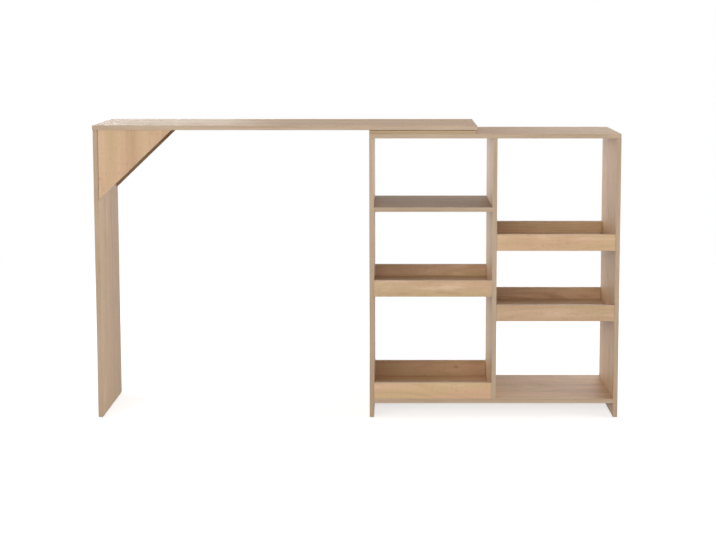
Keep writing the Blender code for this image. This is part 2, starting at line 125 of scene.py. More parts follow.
def spread(tree, value, low, high, to_low=0.0, to_high=1.0):
    sockets = {"Value": value, "From Min": low, "From Max": high, "To Min": to_low, "To Max": to_high}
    return node(tree, "MapRange", sockets, interpolation_type='SMOOTHSTEP')


def tint(tree, share, first, second, way='MIX'):
    colours = [(*c, 1.0) if isinstance(c, tuple) else c for c in (first, second)]
    sockets = {0: share, 6: colours[0], 7: colours[1]}
    return node(tree, "Mix", sockets, output=2, data_type='RGBA', blend_type=way)


def stretched_noise(tree, grain, along, across, detail, roughness, shift):
    sockets = {"Vector": grain, "Location": (shift, shift * 0.37, 0.0), "Scale": (along, across, 1.0)}
    place = node(tree, "Mapping", sockets)
    sockets = {"Vector": place, "Scale": 1.0, "Detail": detail, "Roughness": roughness}
    return node(tree, "TexNoise", sockets, noise_dimensions='2D')


def board_number(tree, name):
    return node(tree, "Attribute", {}, output=2, attribute_type='OBJECT', attribute_name=name)


# Each board's tone scales its colour. On most boards it is a random board tone; on the plain shelf, the
# bottom board, the back cheek and the back lips it carries painted shade or painted light.
def toned(tree, wood, name):
    tone = board_number(tree, name)
    grey = node(tree, "CombineColor", {0: tone, 1: tone, 2: tone})
    return tint(tree, 1.0, wood, grey, 'MULTIPLY')


def emboss(tree, shader, height, strength, distance):
    raised = node(tree, "Bump", {"Strength": strength, "Distance": distance, "Height": height})
    tree.links.new(raised, shader.inputs["Normal"])


def marked_flame(tree, grain):
    along = board_number(tree, "flame_along")
    across = board_number(tree, "flame_across")
    middle = node(tree, "CombineXYZ", {0: along, 1: across})
    apart = node(tree, "VectorMath", {0: grain, 1: middle}, operation='SUBTRACT')
    per_size = (1 / FLAME_LENGTH, 1 / FLAME_WIDTH, 0.0)
    shrunk = node(tree, "VectorMath", {0: apart, 1: per_size}, operation='MULTIPLY')
    distance = node(tree, "VectorMath", {0: shrunk}, output=1, operation='LENGTH')
    return spread(tree, distance, 0.3, 1.0, 1.0, 0.0)


def oak_foil(name, figured=1.0, knot=None):
    finish, tree, shader = new_finish(name)
    grain = node(tree, "UVMap", {}, uv_map="grain")
    knot_dark = None
    if knot is not None:
        grain, knot_dark = bend_round_knot(tree, grain, knot)
    streak = stretched_noise(tree, grain, along=0.42, across=17.0, detail=2.0, roughness=0.5, shift=1.7)
    sweep = stretched_noise(tree, grain, along=0.85, across=6.5, detail=1.0, roughness=0.4, shift=5.3)
    wobble = stretched_noise(tree, grain, along=9.0, across=48.0, detail=2.0, roughness=0.5, shift=9.1)
    zone = stretched_noise(tree, grain, along=0.9, across=3.2, detail=1.0, roughness=0.5, shift=12.9)
    fibre = stretched_noise(tree, grain, along=7.0, across=430.0, detail=3.0, roughness=0.6, shift=3.9)
    grit = stretched_noise(tree, grain, along=55.0, across=1150.0, detail=1.0, roughness=0.5, shift=7.7)
    fleck = stretched_noise(tree, grain, along=95.0, across=260.0, detail=1.0, roughness=0.5, shift=15.2)
    flame = stretched_noise(tree, grain, along=8.0, across=38.0, detail=2.0, roughness=0.55, shift=21.3)
    patch = stretched_noise(tree, grain, along=1.7, across=5.0, detail=1.0, roughness=0.5, shift=27.7)
    marked = marked_flame(tree, grain)
    yellow = stretched_noise(tree, grain, along=2.2, across=24.0, detail=1.0, roughness=0.5, shift=31.1)
    swept = reckon(tree, 'MULTIPLY', sweep, RINGS_IN_SWEEP)
    ring_place = reckon(tree, 'MULTIPLY_ADD', wobble, RING_WOBBLE, swept)
    ring_wave = reckon(tree, 'SINE', reckon(tree, 'MULTIPLY', ring_place, 2.0 * math.pi))
    ring = spread(tree, ring_wave, -0.3, 1.0)
    figure = spread(tree, zone, 0.44, 0.62)
    ring_tone = reckon(tree, 'MULTIPLY', reckon(tree, 'SUBTRACT', ring, 0.42), figure)
    tone = reckon(tree, 'MULTIPLY_ADD', reckon(tree, 'SUBTRACT', streak, 0.5), STREAK_SHARE, 0.5)
    tone = reckon(tree, 'MULTIPLY_ADD', ring_tone, RING_SHARE * figured, tone)
    tone = reckon(tree, 'MULTIPLY_ADD', reckon(tree, 'SUBTRACT', fibre, 0.5), FIBRE_SHARE, tone)
    flame_share = reckon(tree, 'MULTIPLY_ADD', marked, 0.8, spread(tree, patch, 0.45, 0.62))
    flame_tone = reckon(tree, 'MULTIPLY', reckon(tree, 'SUBTRACT', flame, 0.5), flame_share)
    tone = reckon(tree, 'MULTIPLY_ADD', flame_tone, FLAME_SHARE, tone)
    tone = reckon(tree, 'MULTIPLY_ADD', marked, FLAME_PALER, tone)
    fleck_share = reckon(tree, 'MULTIPLY', spread(tree, fleck, 0.62, 0.74, 0.0, 0.07), figure)
    tone = reckon(tree, 'ADD', tone, fleck_share)
    wood = tint(tree, spread(tree, tone, 0.0, 0.5), OAK_DARK, OAK_MIDDLE)
    wood = tint(tree, spread(tree, tone, 0.5, 1.0), wood, OAK_PALE)
    pore = spread(tree, grit, 0.585, 0.70)
    pore_share = reckon(tree, 'MULTIPLY', pore, spread(tree, ring, 0.0, 1.0, 0.14, 0.40))
    wood = tint(tree, pore_share, wood, PORE_BROWN)
    if knot_dark is not None:
        wood = tint(tree, knot_dark, wood, PORE_BROWN)
    hue = tint(tree, spread(tree, yellow, 0.42, 0.60), OAK_ROSY, OAK_YELLOW)
    wood = tint(tree, 1.0, wood, hue, 'MULTIPLY')
    tree.links.new(toned(tree, wood, "tone"), shader.inputs["Base Color"])
    rough = reckon(tree, 'MULTIPLY_ADD', streak, STREAK_ROUGH, FOIL_ROUGH)
    rough = reckon(tree, 'MULTIPLY_ADD', pore, PORE_ROUGH, rough)
    tree.links.new(rough, shader.inputs["Roughness"])
    relief = reckon(tree, 'MULTIPLY_ADD', pore, -0.8, reckon(tree, 'MULTIPLY', fibre, 0.5))
    emboss(tree, shader, relief, strength=0.35, distance=0.00008)
    shader.inputs["Specular IOR Level"].default_value = FOIL_GLOSS
    return finish


def edge_band(name, dark, pale):
    finish, tree, shader = new_finish(name)
    grain = node(tree, "UVMap", {}, uv_map="grain")
    streak = stretched_noise(tree, grain, along=1.1, across=130.0, detail=2.0, roughness=0.5, shift=2.3)
    fibre = stretched_noise(tree, grain, along=9.0, across=900.0, detail=2.0, roughness=0.6, shift=6.1)
    cloud = stretched_noise(tree, grain, along=2.6, across=6.0, detail=1.0, roughness=0.5, shift=11.4)
    tone = reckon(tree, 'MULTIPLY_ADD', fibre, 0.45, reckon(tree, 'MULTIPLY', streak, 0.35))
    tone = reckon(tree, 'MULTIPLY_ADD', cloud, 0.30, tone)
    wood = tint(tree, spread(tree, tone, 0.28, 0.82), dark, pale)
    tree.links.new(toned(tree, wood, "band_tone"), shader.inputs["Base Color"])
    tree.links.new(reckon(tree, 'MULTIPLY_ADD', fibre, 0.14, 0.40), shader.inputs["Roughness"])
    emboss(tree, shader, fibre, strength=0.25, distance=0.00006)
    shader.inputs["Specular IOR Level"].default_value = FOIL_GLOSS
    return finish


def hot_glue(name):
    finish, tree, shader = new_finish(name)
    grain = node(tree, "UVMap", {}, uv_map="grain")
    drag = stretched_noise(tree, grain, along=140.0, across=900.0, detail=2.0, roughness=0.5, shift=4.4)
    tree.links.new(tint(tree, drag, GLUE_BROWN, GLUE_PALE), shader.inputs["Base Color"])
    tree.links.new(spread(tree, drag, 0.3, 0.7, 0.45, 0.7), shader.inputs["Roughness"])
    return finish


def sawn_chips(name):
    finish, tree, shader = new_finish(name)
    place = node(tree, "TexCoord", {}, output=3)
    flat = node(tree, "Mapping", {"Vector": place, "Scale": (420.0, 420.0, 700.0)})
    chip = node(tree, "TexVoronoi", {"Vector": flat, "Scale": 1.0, "Randomness": 1.0}, output=1)
    shade = node(tree, "SeparateColor", {0: chip})
    dust = node(tree, "TexNoise", {"Vector": place, "Scale": 2600.0, "Detail": 2.0})
    share = reckon(tree, 'MULTIPLY_ADD', dust, 0.35, reckon(tree, 'MULTIPLY', shade, 0.65))
    tree.links.new(tint(tree, share, CHIP_DARK, CHIP_PALE), shader.inputs["Base Color"])
    emboss(tree, shader, share, strength=0.6, distance=0.0003)
    shader.inputs["Roughness"].default_value = 0.85
    return finish


FOIL = oak_foil("oak_foil")
EDGE = edge_band("oak_edge_band", BAND_DARK, BAND_PALE)
GLUE = hot_glue("hot_glue_line")
CHIPS = sawn_chips("sawn_particle_board")


def ring_of_points(corners, inset):
    middle_inset = max(CORNER_ROUND, inset + LEAST_ROUND)
    points = []
    for before, corner, after in zip(corners[-1:] + corners[:-1], corners, corners[1:] + corners[:1]):
        into = (corner - before).normalized()
        out = (after - corner).normalized()
        first = math.atan2(-into.x, into.y)
        last = math.atan2(-out.x, out.y)
        if last < first:
            last += 2.0 * math.pi
        halfway = (first + last) / 2
        reach = middle_inset / math.cos((last - first) / 2)
        middle = corner - reach * Vector((math.cos(halfway), math.sin(halfway)))
        for step in range(CORNER_STEPS + 1):
            angle = first + (last - first) * step / CORNER_STEPS
            points.append(middle + (middle_inset - inset) * Vector((math.cos(angle), math.sin(angle))))
    return points


def layers_of(thickness):
    half = [
        (BAND + GLUE_LINE, thickness / 2),
        (BAND + GLUE_LINE / 2, thickness / 2 - GLUE_LINE_DEPTH),
        (BAND, thickness / 2),
    ]
    for step in range(ARRIS_STEPS + 1):
        angle = math.radians(90) * step / ARRIS_STEPS
        half.append((ARRIS * (1 - math.sin(angle)), thickness / 2 - ARRIS * (1 - math.cos(angle))))
    return half + [(inset, -level) for inset, level in reversed(half)]


def shaped_board(name, cad_node, corners, thickness, placing, body, tone, start,
                 foil=None, band_tone=None, band=None):
    work = bmesh.new()
    grain = work.loops.layers.uv.new("grain")
    outer = ring_of_points(corners, 0.0)
    walked = [0.0]
    for here, there in zip(outer, outer[1:] + outer[:1]):
        walked.append(walked[-1] + (there - here).length)
    layers = layers_of(thickness)
    rings = []
    for inset, level in layers:
        rings.append([work.verts.new((p.x, p.y, level)) for p in ring_of_points(corners, inset)])
    for face in (work.faces.new(rings[0]), work.faces.new(rings[-1][::-1])):
        face.material_index = FOIL_PLACE
        for loop in face.loops:
            loop[grain].uv = (loop.vert.co.x + start[0], loop.vert.co.y + start[1])
    count = len(outer)
    for level, (upper, lower) in enumerate(zip(rings, rings[1:])):
        heights = (layers[level][1], layers[level + 1][1])
        in_glue = min(layers[level][0], layers[level + 1][0]) > BAND - 1e-7
        for k in range(count):
            after = (k + 1) % count
            face = work.faces.new((lower[k], lower[after], upper[after], upper[k]))
            face.material_index = GLUE_PLACE if in_glue else BAND_PLACE
            places = ((k, 1), (k + 1, 1), (k + 1, 0), (k, 0))
            for loop, (at, side) in zip(face.loops, places):
                loop[grain].uv = (walked[at] + start[1], heights[side] + start[0])
    mesh = bpy.data.meshes.new(name)
    work.to_mesh(mesh)
    work.free()
    mesh.transform(placing)
    mesh.shade_smooth()
    mesh.set_sharp_from_angle(angle=math.radians(SHARP_ANGLE))
    for finish in (foil or FOIL, band or EDGE, GLUE):
        mesh.materials.append(finish)
    piece = put_in_scene(name, mesh)
    piece["tone"] = tone
    piece["band_tone"] = band_tone or tone
    piece["flame_along"] = start[0] + FLAMES.get(cad_node, FAR_AWAY)
    piece["flame_across"] = start[1]
    even = piece.modifiers.new("even_faces", 'WEIGHTED_NORMAL')
    even.weight = 100
    even.keep_sharp = True
    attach(piece, body)
    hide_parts(cad_node)
    return piece


DIRECTIONS = {"x": Vector((1, 0, 0)), "y": Vector((0, 1, 0)), "z": Vector((0, 0, 1))}


def oak_board(cad_node, grain_way, body, tone, start, foil=None, band_tone=None, band=None):
    low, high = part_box(cad_node)
    size = high - low
    thin_way = "xyz"[min(range(3), key=lambda axis: size[axis])]
    across_way = "xyz".replace(thin_way, "").replace(grain_way, "")
    along, across = DIRECTIONS[grain_way], DIRECTIONS[across_way]
    length, width = abs(size.dot(along)), abs(size.dot(across))
    thickness = abs(size.dot(DIRECTIONS[thin_way]))
    a, b = length / 2, width / 2
    corners = [Vector((-a, -b)), Vector((a, -b)), Vector((a, b)), Vector((-a, b))]
    placing = Matrix((along, across, along.cross(across))).transposed().to_4x4()
    placing.translation = (low + high) / 2
    name = cad_node + "_oak"
    return shaped_board(name, cad_node, corners, thickness, placing, body, tone, start, foil, band_tone, band)


left_side = oak_board("left_side", "z", "shelf_unit", tone=0.97, start=(0.6, 3.1))
right_side = oak_board("right_side", "z", "shelf_unit", tone=0.99, start=(4.2, 5.7))


# The bottom board and the divider that stands on it, of the same foiled board. The bottom board runs
# between the sides, its grain lengthwise, and the divider's grain is upright.

# The bottom board's foil is painted lighter (tone 1.11): a painted pool of light on the open floor of the
# right bay.
bottom_board = oak_board("bottom_board", "x", "shelf_unit", tone=1.11, start=(8.3, 1.9), band_tone=1.02)
divider = oak_board("divider", "z", "shelf_unit", tone=0.98, start=(11.4, 6.6))


# Connecting screws pull the boards together: zinc-plated steel, a small countersunk head with a hexagon
# socket, a plain neck and a coarse thread for particle board. Each is driven into a stepped drilling.

HEAD_RADIUS = 0.0048
HEAD_HEIGHT = 0.0035
NECK_RADIUS = 0.0034
NECK_LENGTH = 0.010
NECK_TAPER = 0.0006
THREAD_CREST = 0.0025
THREAD_ROOT = 0.0019
THREAD_PITCH = 0.0030
THREAD_SINK = 0.96
THREAD_FLANK = 0.3
THREAD_RUN_OUT = 6
TIP_LENGTH = 0.004
SOCKET_ACROSS = 0.0040
SOCKET_DEPTH = 0.0026
SOCKET_POINT = 0.0008
DRILL_CLEARANCE = 0.0003
HEAD_SUNK = 0.0004
OVER_FACE = 0.001
THREAD_INSET = 0.001
SCREW_EASE = 0.0003

STEEL_PALE = (0.700, 0.700, 0.680)
STEEL_GREY = (0.480, 0.490, 0.500)
STEEL_GRIND = (900.0, 900.0, 4500.0)


def bare_metal(name, pale, grey, smooth, rough, grind):
    finish, tree, shader = new_finish(name)
    place = node(tree, "TexCoord", {}, output=3)
    cloud = node(tree, "TexNoise", {"Vector": place, "Scale": 330.0, "Detail": 3.0, "Roughness": 0.6})
    fine = node(tree, "Mapping", {"Vector": place, "Scale": grind})
    scratch = node(tree, "TexNoise", {"Vector": fine, "Scale": 1.0, "Detail": 3.0, "Roughness": 0.7})
    mixed = reckon(tree, 'MULTIPLY_ADD', scratch, 0.5, reckon(tree, 'MULTIPLY', cloud, 0.5))
    tree.links.new(tint(tree, spread(tree, mixed, 0.3, 0.7), grey, pale), shader.inputs["Base Color"])
    tree.links.new(spread(tree, mixed, 0.3, 0.7, rough, smooth), shader.inputs["Roughness"])
    emboss(tree, shader, scratch, strength=0.2, distance=0.00004)
    shader.inputs["Metallic"].default_value = 1.0
    return finish


STEEL = bare_metal("plated_steel_finish", STEEL_PALE, STEEL_GREY, smooth=0.24, rough=0.42, grind=STEEL_GRIND)


def eased(profile, ease, steps=3):
    made = [profile[0]]
    for before, corner, after in zip(profile, profile[1:], profile[2:]):
        b, c, a = Vector(before), Vector(corner), Vector(after)
        start = c + (b - c).normalized() * min(ease, (b - c).length * 0.45)
        end = c + (a - c).normalized() * min(ease, (a - c).length * 0.45)
        for step in range(steps + 1):
            t = step / steps
            made.append(tuple(start * (1 - t) ** 2 + c * 2 * t * (1 - t) + end * t * t))
    return made + [profile[-1]]


def turn(work, profile, steps, closed=False):
    rings = []
    for radius, height in profile:
        if radius < 1e-9:
            rings.append([work.verts.new((0.0, 0.0, height))])
            continue
        angles = [2.0 * math.pi * step / steps for step in range(steps)]
        rings.append([work.verts.new((radius * math.cos(a), radius * math.sin(a), height)) for a in angles])
    pairs = list(zip(rings, rings[1:]))
    if closed:
        pairs.append((rings[-1], rings[0]))
    for upper, lower in pairs:
        for k in range(steps):
            after = (k + 1) % steps
            if len(upper) == 1:
                work.faces.new((upper[0], lower[k], lower[after]))
            elif len(lower) == 1:
                work.faces.new((lower[0], upper[after], upper[k]))
            else:
                work.faces.new((lower[k], lower[after], upper[after], upper[k]))


def wind_thread(work, root, crest, pitch, top, bottom, steps=16):
    rungs = []
    total = int((top - bottom) / pitch * steps)
    for step in range(total + 1):
        angle = 2.0 * math.pi * step / steps
        height = top - pitch * step / steps
        fade = min(1.0, step / THREAD_RUN_OUT, (total - step) / THREAD_RUN_OUT)
        reach = root + (crest - root) * fade
        flank = pitch * THREAD_FLANK
        spots = ((root * THREAD_SINK, height + flank), (reach, height), (root * THREAD_SINK, height - flank))
        rungs.append([work.verts.new((r * math.cos(angle), r * math.sin(angle), z)) for r, z in spots])
    for one, two in zip(rungs, rungs[1:]):
        for k in range(3):
            after = (k + 1) % 3
            work.faces.new((one[k], one[after], two[after], two[k]))
    work.faces.new(rungs[0][::-1])
    work.faces.new(rungs[-1])


def finished_mesh(name, work, finish, sharp=SHARP_ANGLE):
    bmesh.ops.recalc_face_normals(work, faces=work.faces)
    mesh = bpy.data.meshes.new(name)
    work.to_mesh(mesh)
    work.free()
    mesh.shade_smooth()
    mesh.set_sharp_from_angle(angle=math.radians(sharp))
    mesh.materials.append(finish)
    return mesh


def carve(mesh, tools):
    blank = put_in_scene("blank", mesh)
    for tool in tools:
        step = blank.modifiers.new("carve", 'BOOLEAN')
        step.operation = 'DIFFERENCE'
        step.solver = 'EXACT'
        step.material_mode = 'TRANSFER'
        step.object = tool
    seen = blank.evaluated_get(bpy.context.evaluated_depsgraph_get())
    carved = bpy.data.meshes.new_from_object(seen)
    carved.name = mesh.name
    carved.set_sharp_from_angle(angle=math.radians(SHARP_ANGLE))
    for spent in (blank, *tools):
        bpy.data.objects.remove(spent, do_unlink=True)
    return carved


def aim(piece, at, tip):
    piece.location = at
    piece.rotation_mode = 'QUATERNION'
    piece.rotation_quaternion = (-Vector(tip)).to_track_quat('Z', 'Y')


def tool_from(work, finish, at=Vector((0, 0, 0)), tip=Vector((0, 0, -1))):
    tool = put_in_scene("tool", finished_mesh("tool", work, finish))
    aim(tool, at, tip)
    return tool


def drill(boards, profile, at, tip, steps=28):
    for board in boards:
        work = bmesh.new()
        turn(work, profile, steps)
        board.data = carve(board.data, [tool_from(work, CHIPS, at, tip)])


def seat(cad_node, tip):
    low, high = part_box(cad_node)
    at = (low + high) / 2
    for axis in range(3):
        if tip[axis] > 0:
            at[axis] = low[axis]
        if tip[axis] < 0:
            at[axis] = high[axis]
    return at


def fit(cad_node, mesh, tip, body):
    piece = put_in_scene(cad_node + "_made", mesh)
    aim(piece, seat(cad_node, tip), tip)
    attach(piece, body)
    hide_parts(cad_node)
    return piece


def hexagon_tool(across, depth):
    work = bmesh.new()
    radius = across / 2 / math.cos(math.radians(30))
    profile = [(0.0, OVER_FACE), (radius, OVER_FACE), (radius, -depth), (0.0, -depth - SOCKET_POINT)]
    turn(work, profile, steps=6)
    return tool_from(work, STEEL)


def screw_mesh(length):
    work = bmesh.new()
    neck_low = -HEAD_HEIGHT - NECK_LENGTH
    profile = [
        (0.0, 0.0),
        (HEAD_RADIUS, 0.0),
        (HEAD_RADIUS, -HEAD_HEIGHT / 2),
        (NECK_RADIUS, -HEAD_HEIGHT),
        (NECK_RADIUS, neck_low + NECK_TAPER),
        (THREAD_ROOT, neck_low),
        (THREAD_ROOT, -length + TIP_LENGTH),
        (0.0, -length),
    ]
    turn(work, eased(profile, SCREW_EASE), steps=32)
    mesh = carve(finished_mesh("screw", work, STEEL), [hexagon_tool(SOCKET_ACROSS, SOCKET_DEPTH)])
    whole = bmesh.new()
    whole.from_mesh(mesh)
    top, bottom = neck_low - THREAD_INSET, -length + THREAD_INSET
    wind_thread(whole, THREAD_ROOT, THREAD_CREST, THREAD_PITCH, top, bottom)
    return finished_mesh("screw", whole, STEEL)


def screw_drilling(length):
    spare = DRILL_CLEARANCE
    neck_low = -HEAD_HEIGHT - NECK_LENGTH
    return [
        (0.0, HEAD_SUNK + OVER_FACE),
        (HEAD_RADIUS + spare, HEAD_SUNK + OVER_FACE),
        (HEAD_RADIUS + spare, -HEAD_HEIGHT / 2 - spare),
        (NECK_RADIUS + spare, -HEAD_HEIGHT - spare),
        (NECK_RADIUS + spare, neck_low - spare),
        (THREAD_CREST + spare, neck_low - spare),
        (THREAD_CREST + spare, -length + TIP_LENGTH / 2),
        (0.0, -length - spare),
    ]


DOWN, UP = Vector((0, 0, -1)), Vector((0, 0, 1))
TO_LEFT, TO_RIGHT = Vector((-1, 0, 0)), Vector((1, 0, 0))
LONG_SCREW = 0.050
long_screw = screw_mesh(LONG_SCREW)


def drive(cad_node, mesh, length, tip, boards):
    drill(boards, screw_drilling(length), seat(cad_node, tip), tip)
    fit(cad_node, mesh, tip, "shelf_unit")


for side in ("front", "back"):
    drive("bottom_screw_left_" + side, long_screw, LONG_SCREW, TO_RIGHT, [left_side, bottom_board])
    drive("bottom_screw_right_" + side, long_screw, LONG_SCREW, TO_LEFT, [right_side, bottom_board])
    drive("divider_screw_" + side, long_screw, LONG_SCREW, UP, [bottom_board, divider])


# The plain shelf at the top of the left column lies loose on four plated steel pins. Each pin is pushed
# into a drilled hole up to its collar.

PIN_RADIUS = 0.0025
PIN_COLLAR_RADIUS = 0.0040
PIN_COLLAR = 0.0015
PIN_OUT = 0.010
PIN_IN = 0.009
PIN_EASE = 0.0004
PIN_SLACK = 0.0002
PIN_HOLE_SPARE = 0.0005
PIN_HOLE_POINT = 0.0012


def pin_mesh():
    work = bmesh.new()
    profile = [
        (0.0, 0.0),
        (PIN_RADIUS, 0.0),
        (PIN_RADIUS, PIN_COLLAR - PIN_OUT),
        (PIN_COLLAR_RADIUS, PIN_COLLAR - PIN_OUT),
        (PIN_COLLAR_RADIUS, DRILL_CLEARANCE - PIN_OUT),
        (PIN_RADIUS, DRILL_CLEARANCE - PIN_OUT),
        (PIN_RADIUS, -PIN_OUT - PIN_IN),
        (0.0, -PIN_OUT - PIN_IN),
    ]
    turn(work, eased(profile, PIN_EASE), steps=32)
    return finished_mesh("shelf_pin", work, STEEL)


shelf_pin = pin_mesh()
pin_hole = [
    (0.0, OVER_FACE),
    (PIN_RADIUS + PIN_SLACK, OVER_FACE),
    (PIN_RADIUS + PIN_SLACK, -PIN_IN - PIN_HOLE_SPARE),
    (0.0, -PIN_IN - PIN_HOLE_POINT),
]
for wall, board, tip in (("left", left_side, TO_LEFT), ("right", divider, TO_RIGHT)):
    for side in ("front", "back"):
        pin = "shelf_stud_" + wall + "_" + side
        drill([board], pin_hole, seat(pin, tip) + tip * PIN_OUT, tip)
        fit(pin, shelf_pin, tip, "shelf_unit")

# The plain shelf's foil is painted much darker (tone 0.66): painted shade for the shadow that the unit's top
# casts over it. Its band keeps a near-plain tone.
oak_board("plain_shelf", "x", "shelf_unit", tone=0.66, start=(14.6, 2.2), band_tone=0.98)


# Three trays hang between the uprights: a board with an upright lip before and behind it, all of the
# same foiled board with the grain lengthwise. Two more lips stand on the bottom board in the left
# column, and the rear one shows a small knot inside.

KNOT_AT = (0.100, 0.005)
KNOT_RADIUS = 0.0042
KNOT_STRETCH = 0.62
KNOT_REACH = 0.011
KNOT_CORE = KNOT_RADIUS * 0.35
KNOT_HALO = KNOT_RADIUS * 0.8
KNOT_SQUEEZE = 0.75
CORE_DARK = 0.85
HALO_DARK = 0.22
CALM_FIGURE = 0.2
BOARD_ASIDE = 1.7
BACK_LIP_AHEAD = 2.9
# The back lip of each tray is painted a little darker than the tray board: painted shade for the shade at the
# back of the tray.
BACK_LIP_PAINTED_SHADE = 0.02


def bend_round_knot(tree, grain, knot):
    parts = tree.nodes.new("ShaderNodeSeparateXYZ")
    tree.links.new(grain, parts.inputs[0])
    along = reckon(tree, 'SUBTRACT', parts.outputs[0], knot[0])
    across = reckon(tree, 'SUBTRACT', parts.outputs[1], knot[1])
    flat = reckon(tree, 'MULTIPLY', along, KNOT_STRETCH)
    flat_square = reckon(tree, 'POWER', flat, 2.0)
    across_square = reckon(tree, 'POWER', across, 2.0)
    apart = reckon(tree, 'SQRT', reckon(tree, 'ADD', flat_square, across_square))
    near = spread(tree, apart, 0.0, KNOT_REACH, 1.0, 0.0)
    squeezed = reckon(tree, 'MULTIPLY', across, reckon(tree, 'MULTIPLY_ADD', near, KNOT_SQUEEZE, 1.0))
    bent = node(tree, "CombineXYZ", {0: parts.outputs[0], 1: reckon(tree, 'ADD', squeezed, knot[1])})
    core = spread(tree, apart, KNOT_CORE, KNOT_RADIUS, CORE_DARK, 0.0)
    halo = spread(tree, apart, KNOT_HALO, KNOT_REACH, HALO_DARK, 0.0)
    return bent, reckon(tree, 'MAXIMUM', core, halo)


def tray(name, tone, front_tone, start):
    board_start = (start[0], start[1] + BOARD_ASIDE)
    back_start = (start[0] + BACK_LIP_AHEAD, start[1])
    oak_board(name + "_board", "x", "shelf_unit", tone, board_start)
    oak_board(name + "_front_lip", "x", "shelf_unit", front_tone, start)
    # The back lip's tone is lowered: painted shade.
    oak_board(name + "_back_lip", "x", "shelf_unit", tone - BACK_LIP_PAINTED_SHADE, back_start)


tray("left_tray", tone=0.98, front_tone=1.00, start=(17.3, 4.8))
tray("right_upper_tray", tone=0.99, front_tone=1.06, start=(22.1, 7.4))
tray("right_lower_tray", tone=0.96, front_tone=0.92, start=(27.9, 3.5))

rear_start = (33.0, 9.0)
knot_at = (rear_start[0] + KNOT_AT[0], rear_start[1] + KNOT_AT[1])
KNOTTY_FOIL = oak_foil("oak_foil_with_knot", figured=CALM_FIGURE, knot=knot_at)
oak_board("bottom_front_lip", "x", "shelf_unit", tone=1.15, start=(37.0, 5.1))
oak_board("bottom_back_lip", "x", "shelf_unit", tone=0.98, start=rear_start, foil=KNOTTY_FOIL)


# The unit's top board, of the same foiled board banded all round, lies on the sides and the divider.
# Six connecting screws hold it down from above, and the swivel's bore is drilled through it later.

unit_top = oak_board("unit_top_board", "x", "shelf_unit", tone=1.0, start=(41.2, 8.8))
for column, upright in (("left", left_side), ("middle", divider), ("right", right_side)):
    for side in ("front", "back"):
        drive("top_screw_" + column + "_" + side, long_screw, LONG_SCREW, DOWN, [unit_top, upright])


# The spacer board lifts the tabletop clear of the unit's top board. It is thinner board with the same
# foil, held by four short screws from below.

SHORT_SCREW = 0.0253
SPACER_BAND_DARK = (0.385, 0.255, 0.130)
SPACER_BAND_PALE = (0.550, 0.395, 0.225)
SPACER_EDGE = edge_band("spacer_edge_band", SPACER_BAND_DARK, SPACER_BAND_PALE)
spacer = oak_board("spacer_board", "x", "shelf_unit", tone=0.93, start=(46.4, 2.7), band=SPACER_EDGE)
short_screw = screw_mesh(SHORT_SCREW)
for column in ("left", "right"):
    for side in ("front", "back"):
        drive("spacer_screw_" + column + "_" + side, short_screw, SHORT_SCREW, UP, [unit_top, spacer])


# Thin oak-coloured plastic caps are pressed over the screw heads that would show. They are moulded
# with a soft rim and lie just inside the drilling. The dome is given in shares of radius and thickness.

CAP_RADIUS = 0.0049
CAP_THICKNESS = 0.00034
CAP_UNDERSIDE = 0.00002
CAP_EASE = 0.0001
CAP_DOME = ((0.0, 1.0), (0.5, 0.97), (0.86, 0.86), (1.0, 0.45))
PLASTIC_UNEVEN = 0.12
CAP_PALE = (0.560, 0.400, 0.262)
CAP_BROWN = (0.470, 0.322, 0.200)


def moulded_plastic(name, pale, dark, rough):
    finish, tree, shader = new_finish(name)
    place = node(tree, "TexCoord", {}, output=3)
    cloud = node(tree, "TexNoise", {"Vector": place, "Scale": 240.0, "Detail": 4.0, "Roughness": 0.6})
    pebble = node(tree, "TexVoronoi", {"Vector": place, "Scale": 4200.0}, feature='SMOOTH_F1')
    tree.links.new(tint(tree, spread(tree, cloud, 0.3, 0.7), dark, pale), shader.inputs["Base Color"])
    tree.links.new(spread(tree, cloud, 0.3, 0.7, rough, rough + PLASTIC_UNEVEN), shader.inputs["Roughness"])
    emboss(tree, shader, pebble, strength=0.25, distance=0.00005)
    return finish


CAP_PLASTIC = moulded_plastic("oak_coloured_plastic", CAP_PALE, CAP_BROWN, rough=0.38)


def cap_mesh():
    work = bmesh.new()
    profile = [(CAP_RADIUS * out, CAP_THICKNESS * up) for out, up in CAP_DOME]
    profile += [(CAP_RADIUS, CAP_UNDERSIDE), (0.0, CAP_UNDERSIDE)]
    turn(work, eased(profile, CAP_EASE, steps=2), steps=40)
    return finished_mesh("screw_cap", work, CAP_PLASTIC)


cap = cap_mesh()
covered = [("top_screw_middle", DOWN), ("top_screw_right", DOWN)]
covered += [("bottom_screw_left", TO_RIGHT), ("bottom_screw_right", TO_LEFT)]
for screw, tip in covered:
    for side in ("front", "back"):
        cover = put_in_scene("cap_" + screw + "_" + side, cap)
        aim(cover, seat(screw + "_" + side, tip), tip)
        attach(cover, "shelf_unit")


# The tabletop is one long foiled board, its grain lengthwise, banded on all four edges. All of its
# drillings are in the underside, for the swivel's insert, the leg's two bolts and the braces' dowels.

tabletop = oak_board("tabletop", "x", "table", tone=1.0, start=(50.1, 4.3))


# The swivel: a socket-head bolt comes up through a washer, a nylon bushing in the unit's top and the
# spacer, and into a brass insert screwed into the tabletop. A thin nylon ring keeps the two boards
# apart and lets them slide.

